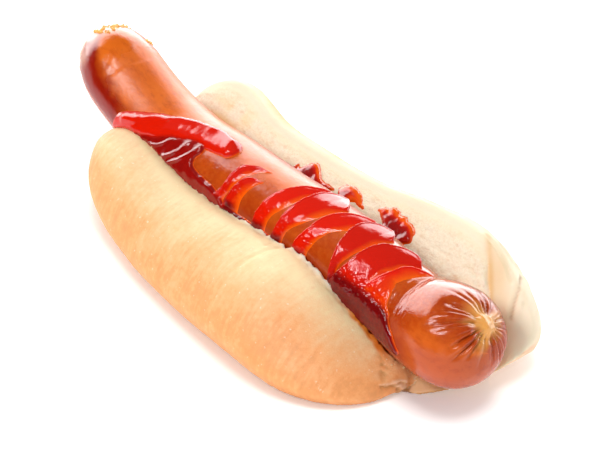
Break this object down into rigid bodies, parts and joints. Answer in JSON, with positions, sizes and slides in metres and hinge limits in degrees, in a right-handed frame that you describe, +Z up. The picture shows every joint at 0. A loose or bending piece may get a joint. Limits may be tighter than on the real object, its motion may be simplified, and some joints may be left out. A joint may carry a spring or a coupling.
{
  "type": "hot dog",
  "caption": "Hot dog: a sausage in a soft golden bun opened along its length, with a zigzag of ketchup on top.",
  "frame": {"origin": "on the table, under the middle of the bounding box", "axes": "+X along the sausage to its puckered end, +Y to the half of the bun that lies opened out, +Z up"},
  "size_m": [0.1752, 0.0798, 0.0452],
  "materials": {
    "bun_crust": "soft baked crust, golden orange low on the side and pale cream by the slit, with a pale open crumb on the cut face",
    "sausage_skin": "glossy orange brown casing, darker and redder at the far end, with a tan puckered tip",
    "ketchup_sauce": "wet, glossy bright red, darker where it pools"
  },
  "bodies": {
    "root": {"bun": "bun_crust", "sausage": "sausage_skin", "ketchup": "ketchup_sauce"}
  },
  "joints": []
}
